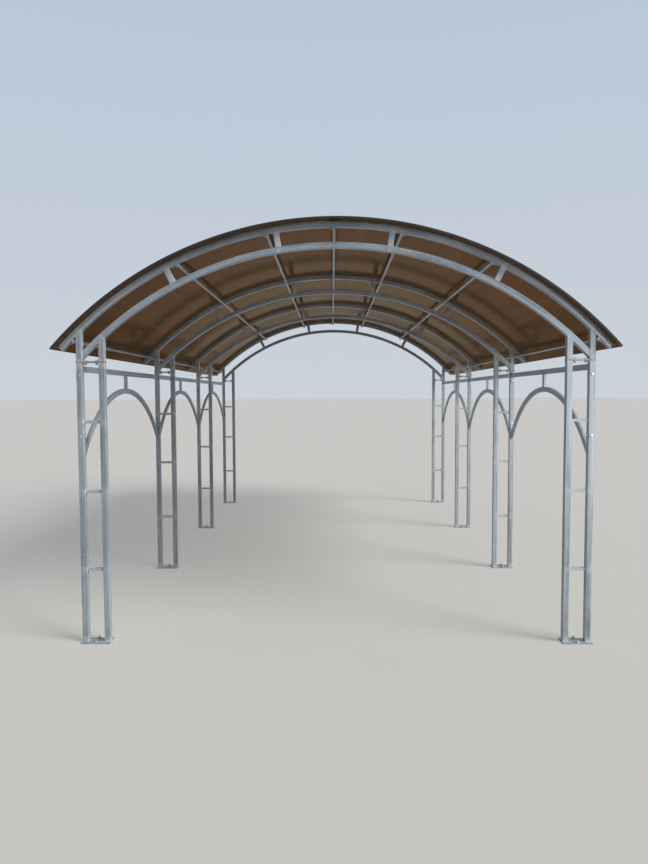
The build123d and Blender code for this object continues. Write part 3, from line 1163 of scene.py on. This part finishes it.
def roof_screws():
    """Screws with domed washers and black seals along every purlin but the ridge."""
    seal_width, seal_thick = 0.023, 0.0022
    dome = [(0.0105, 0.0018), (0.0105, 0.0026), (0.0088, 0.0034), (0.0060, 0.0038)]
    head_flats, head_height, head_base = 0.008, 0.0045, 0.0036
    seal, screw, seals, screws = Build(), Build(), Build(), Build()
    washer(seal, 0, seal_width, seal_thick)
    stack(screw, [(circle(radius, HEAD_POINTS), z) for radius, z in dome])
    stack(screw, hex_levels(head_flats, head_height, False), head_base)
    count = int(2 * PURLIN_HALF_LENGTH / ROOF_SCREW_PITCH)
    first = -ROOF_SCREW_PITCH * (count - 1) / 2
    sink, scatter = 0.0004, 0.004
    top = ARC_Z + SHEET_R + SHEET_THICK - sink
    rng = random.Random(17)
    for node in ("upper_purlins", "lower_purlins", "eaves_purlins"):
        for angle in PURLIN_ANGLES[node]:
            for number in range(count):
                y = first + number * ROOF_SCREW_PITCH + rng.uniform(-scatter, scatter)
                turn = Matrix.Rotation(rng.uniform(0, 1), 4, "Z")
                place = round_the_roof(angle) @ at(0, y, top) @ turn
                seals.add(seal, place)
                screws.add(screw, place)
    finished(seals, "roof_screw_seals", BLACK)
    finished(screws, "roof_screws", PLATING)


PARTS_OF_THE_CARPORT = (
    column_plates, posts, rungs, column_welds,
    truss_legs, outer_arches, inner_arches, arch_struts, truss_welds,
    side_arches, side_rails, side_welds,
    purlins, purlin_caps, purlin_cleats,
    roof_sheets, edge_strips, ridge_strip,
    anchor_bolts, splice_bolts, side_panel_bolts, roof_screws,
)
for make in PARTS_OF_THE_CARPORT:
    make()


# Studio

def shown_rays(tree):
    """One for rays from the camera, off gloss and through clear sheets."""
    path = add(tree, "ShaderNodeLightPath").outputs
    seen = maths(tree, "MAXIMUM", path["Is Camera Ray"], path["Is Glossy Ray"])
    return maths(tree, "MAXIMUM", seen, path["Is Transmission Ray"])


def studio_floor():
    """Plain pale floor with a very faint mottle, paler to the camera than to the carport."""
    darker, paler = (0.29, 0.283, 0.273, 1.0), (0.31, 0.303, 0.293, 1.0)
    shown_pallor = (0.30, 0.297, 0.29)
    reach = 300.0
    material, tree, shader = new_material("pale_floor", Roughness=0.9, Emission_Strength=1.0)
    shader.inputs["Specular IOR Level"].default_value = 0.1
    mottle = noise(tree, object_place(tree), 1.5, 4.0)
    tree.links.new(blend(tree, mottle, darker, paler), shader.inputs["Base Color"])
    tree.links.new(scaled(tree, shown_pallor, shown_rays(tree)), shader.inputs["Emission Color"])
    mesh = bpy.data.meshes.new("studio_floor")
    corners = [(-reach, -reach, 0), (reach, -reach, 0), (reach, reach, 0), (-reach, reach, 0)]
    mesh.from_pydata(corners, [], [(0, 1, 2, 3)])
    mesh.materials.append(material)
    floor = linked("studio_floor", mesh)


def studio_world():
    """Even ambient light, with a paler backdrop for the camera, gloss and clear sheets."""
    world = bpy.data.worlds.new("studio")
    bpy.context.scene.world = world
    world.use_nodes = True
    tree = world.node_tree
    background = tree.nodes["Background"]
    direction = add(tree, "ShaderNodeTexCoord").outputs["Generated"]
    height = add(tree, "ShaderNodeSeparateXYZ", {0: direction}).outputs["Z"]
    rise = ramp(tree, height, 0.0, 0.55)
    backdrop = blend(tree, rise, (0.60, 0.64, 0.69, 1.0), (0.47, 0.57, 0.70, 1.0))
    light = blend(tree, shown_rays(tree), (0.16, 0.18, 0.21, 1.0), backdrop)
    tree.links.new(light, background.inputs["Color"])


def lamp(name, kind, aim, **values):
    """Lamp that shines along a direction."""
    light = bpy.data.lights.new(name, kind)
    for key, value in values.items():
        setattr(light, key, value)
    holder = linked(name, light)
    holder.rotation_euler = Vector(aim).to_track_quat("-Z", "Y").to_euler()
    return holder


def key_light():
    """Broad soft light from the right and a little in front, evenly over the whole floor."""
    aim, warm = (-0.80, 0.40, -0.62), (1.0, 0.97, 0.92)
    lamp("key_light", "SUN", aim, energy=4.0, angle=math.radians(32), color=warm)


def fill_light():
    """Dim low disc in front on the right, narrow enough to light the posts and not the roof."""
    aim = (-2.6, 8.0, -0.1)
    holder = lamp("fill_light", "AREA", aim, shape="DISK", size=2.5, energy=7.0, spread=math.radians(46))
    holder.location = (4.5, -9.5, 1.35)
    holder.visible_camera = False
    holder.visible_transmission = False


def photo_camera():
    """Camera at the photograph's height, place and tilt."""
    lens = bpy.data.cameras.new("photo_camera")
    lens.lens = 27.418
    camera = linked("photo_camera", lens)
    stand = at(-0.0158, -7.3025, 1.6725)
    yaw, pitch, roll = (math.radians(angle) for angle in (0.733, -3.198, 0.24))
    turn = Matrix.Rotation(yaw, 4, "Z") @ Matrix.Rotation(math.radians(90) + pitch, 4, "X")
    camera.matrix_world = stand @ turn @ Matrix.Rotation(-roll, 4, "Z")
    bpy.context.scene.camera = camera


studio_floor()
studio_world()
key_light()
fill_light()
photo_camera()
bpy.context.scene.view_settings.view_transform = "Standard"
